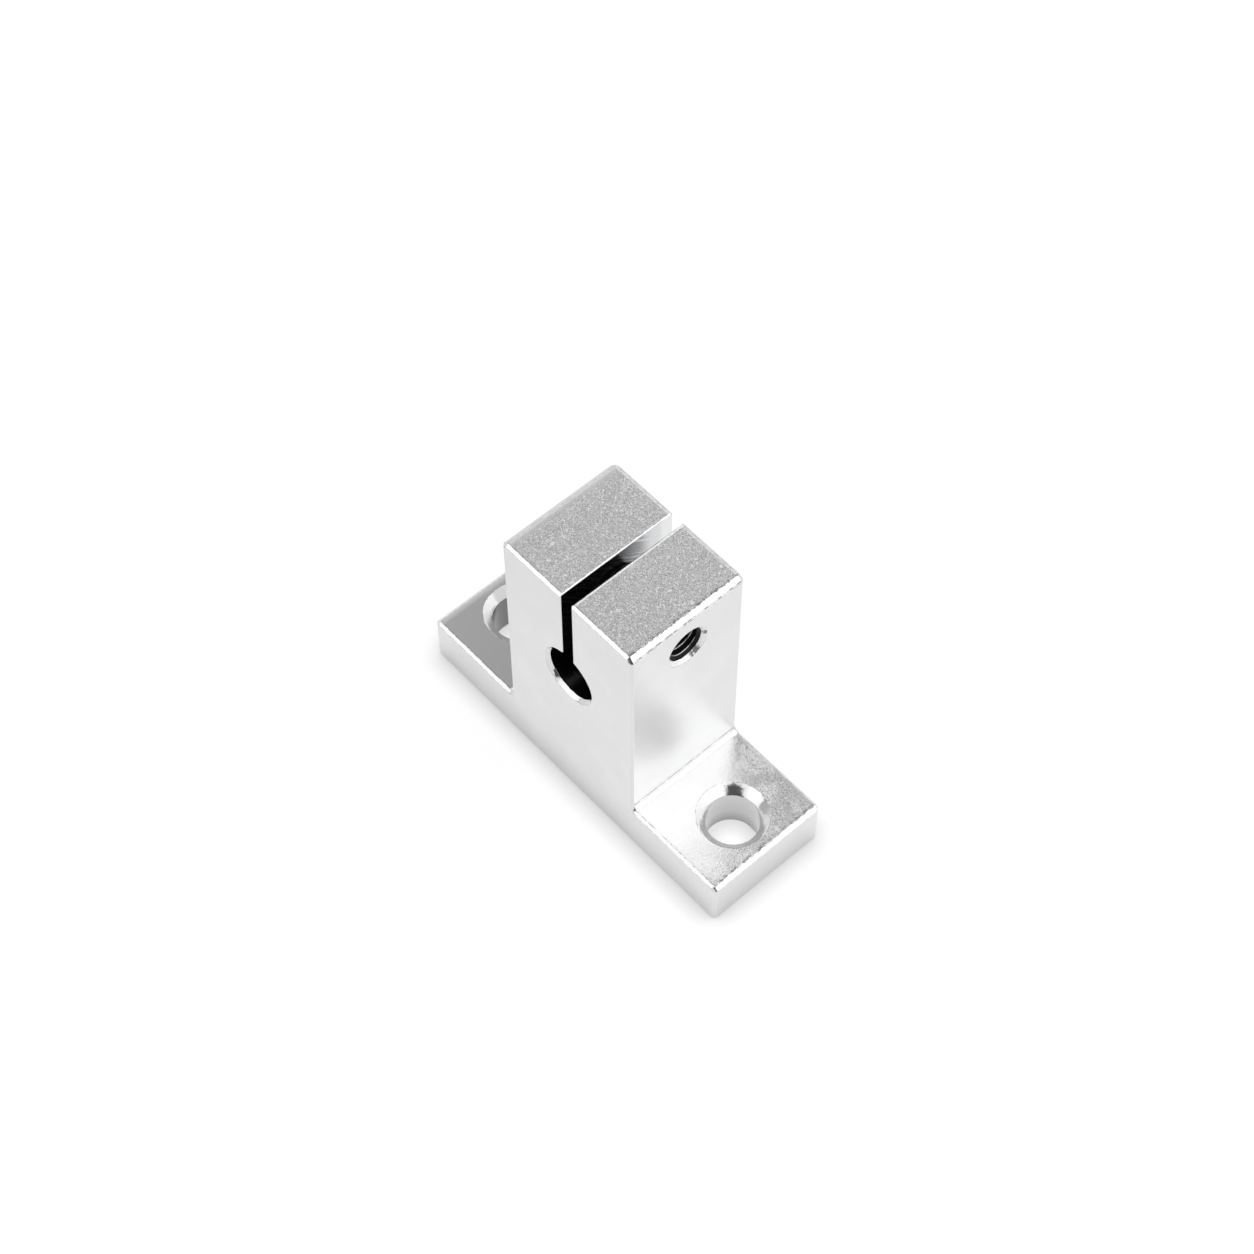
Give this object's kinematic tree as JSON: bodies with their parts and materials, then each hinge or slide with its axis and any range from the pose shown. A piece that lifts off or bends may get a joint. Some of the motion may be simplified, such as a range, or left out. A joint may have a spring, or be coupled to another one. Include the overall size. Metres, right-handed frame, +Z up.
{
  "type": "shaft support block",
  "caption": "Inverted-T aluminium block with a slit clamp bore that holds the end of a round shaft, countersunk mounting holes in its base and a cap screw that closes the clamp.",
  "frame": {"origin": "centre of the base, on the surface that the block is bolted to", "axes": "+X across the block towards the face with the tapped clamp hole, +Y along the shaft's bore, +Z up from the base"},
  "size_m": [0.042, 0.014, 0.0328],
  "materials": {
    "aluminium": "plain machined aluminium with a fine blasted grain and bright broken edges",
    "screw_steel": "alloy steel with a thin black oxide"
  },
  "bodies": {
    "support": {"block": "aluminium"},
    "screw": {"clamp_screw": "screw_steel"}
  },
  "joints": [
    {"name": "clamp_screw_turn", "type": "hinge", "parent": "support", "child": "screw", "pos_m": [-0.0046, 0, 0.0282], "axis": [-1, 0, 0], "range_deg": [0, 270]}
  ]
}
